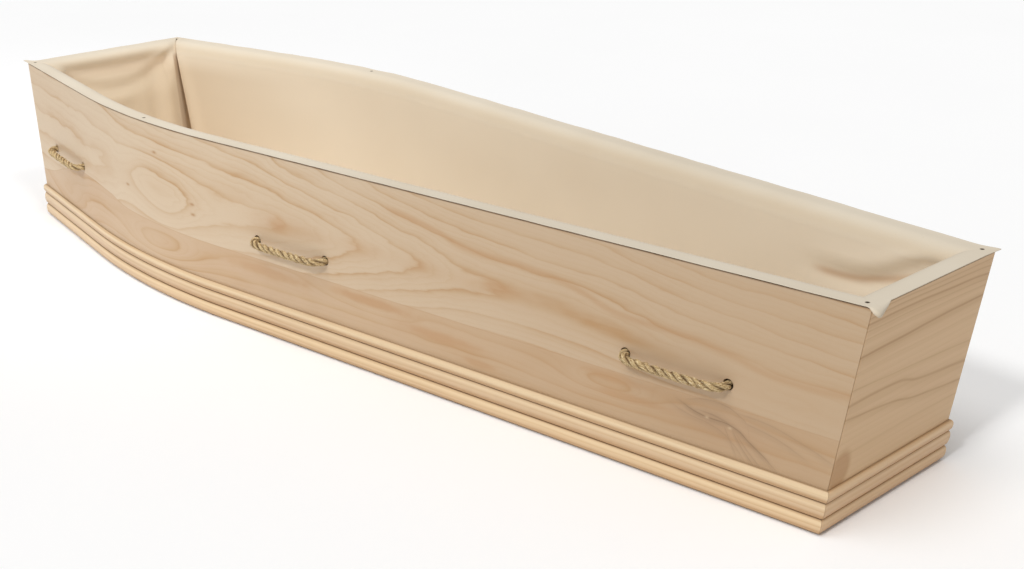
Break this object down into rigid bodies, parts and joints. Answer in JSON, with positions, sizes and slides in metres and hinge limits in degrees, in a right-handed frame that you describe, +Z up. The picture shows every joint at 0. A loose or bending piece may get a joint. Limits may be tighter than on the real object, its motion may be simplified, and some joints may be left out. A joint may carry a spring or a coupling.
{
  "type": "pine coffin",
  "caption": "Shouldered pine coffin without its lid: mitred leaning walls on a base board, a beaded plinth moulding, a cloth lining over the rim and rope handles knotted through the sides.",
  "frame": {"origin": "middle of the underside: the centre of the bounding box in X and Y, at the surface the coffin stands on", "axes": "+X along the length from the head end to the foot end, +Y to the left-hand side of someone lying in it, +Z up"},
  "size_m": [1.93, 0.5254, 0.3115],
  "materials": {
    "pine_side": "sanded, clear matt",
    "pine_end": "sanded, clear matt",
    "pine_moulding": "sanded, clear satin",
    "pine_base": "bare, planed",
    "calico": "unbleached plain weave",
    "sisal_rope": "three-strand natural fibre"
  },
  "bodies": {
    "root": {"base_board": "pine_base", "side_board_right": "pine_side", "side_board_left": "pine_side", "head_board": "pine_end", "foot_board": "pine_end", "plinth_right": "pine_moulding", "plinth_left": "pine_moulding", "plinth_head": "pine_moulding", "plinth_foot": "pine_moulding", "lining": "calico", "handle_right_head": "sisal_rope", "handle_right_middle": "sisal_rope", "handle_right_foot": "sisal_rope", "handle_left_head": "sisal_rope", "handle_left_middle": "sisal_rope", "handle_left_foot": "sisal_rope"}
  },
  "joints": []
}
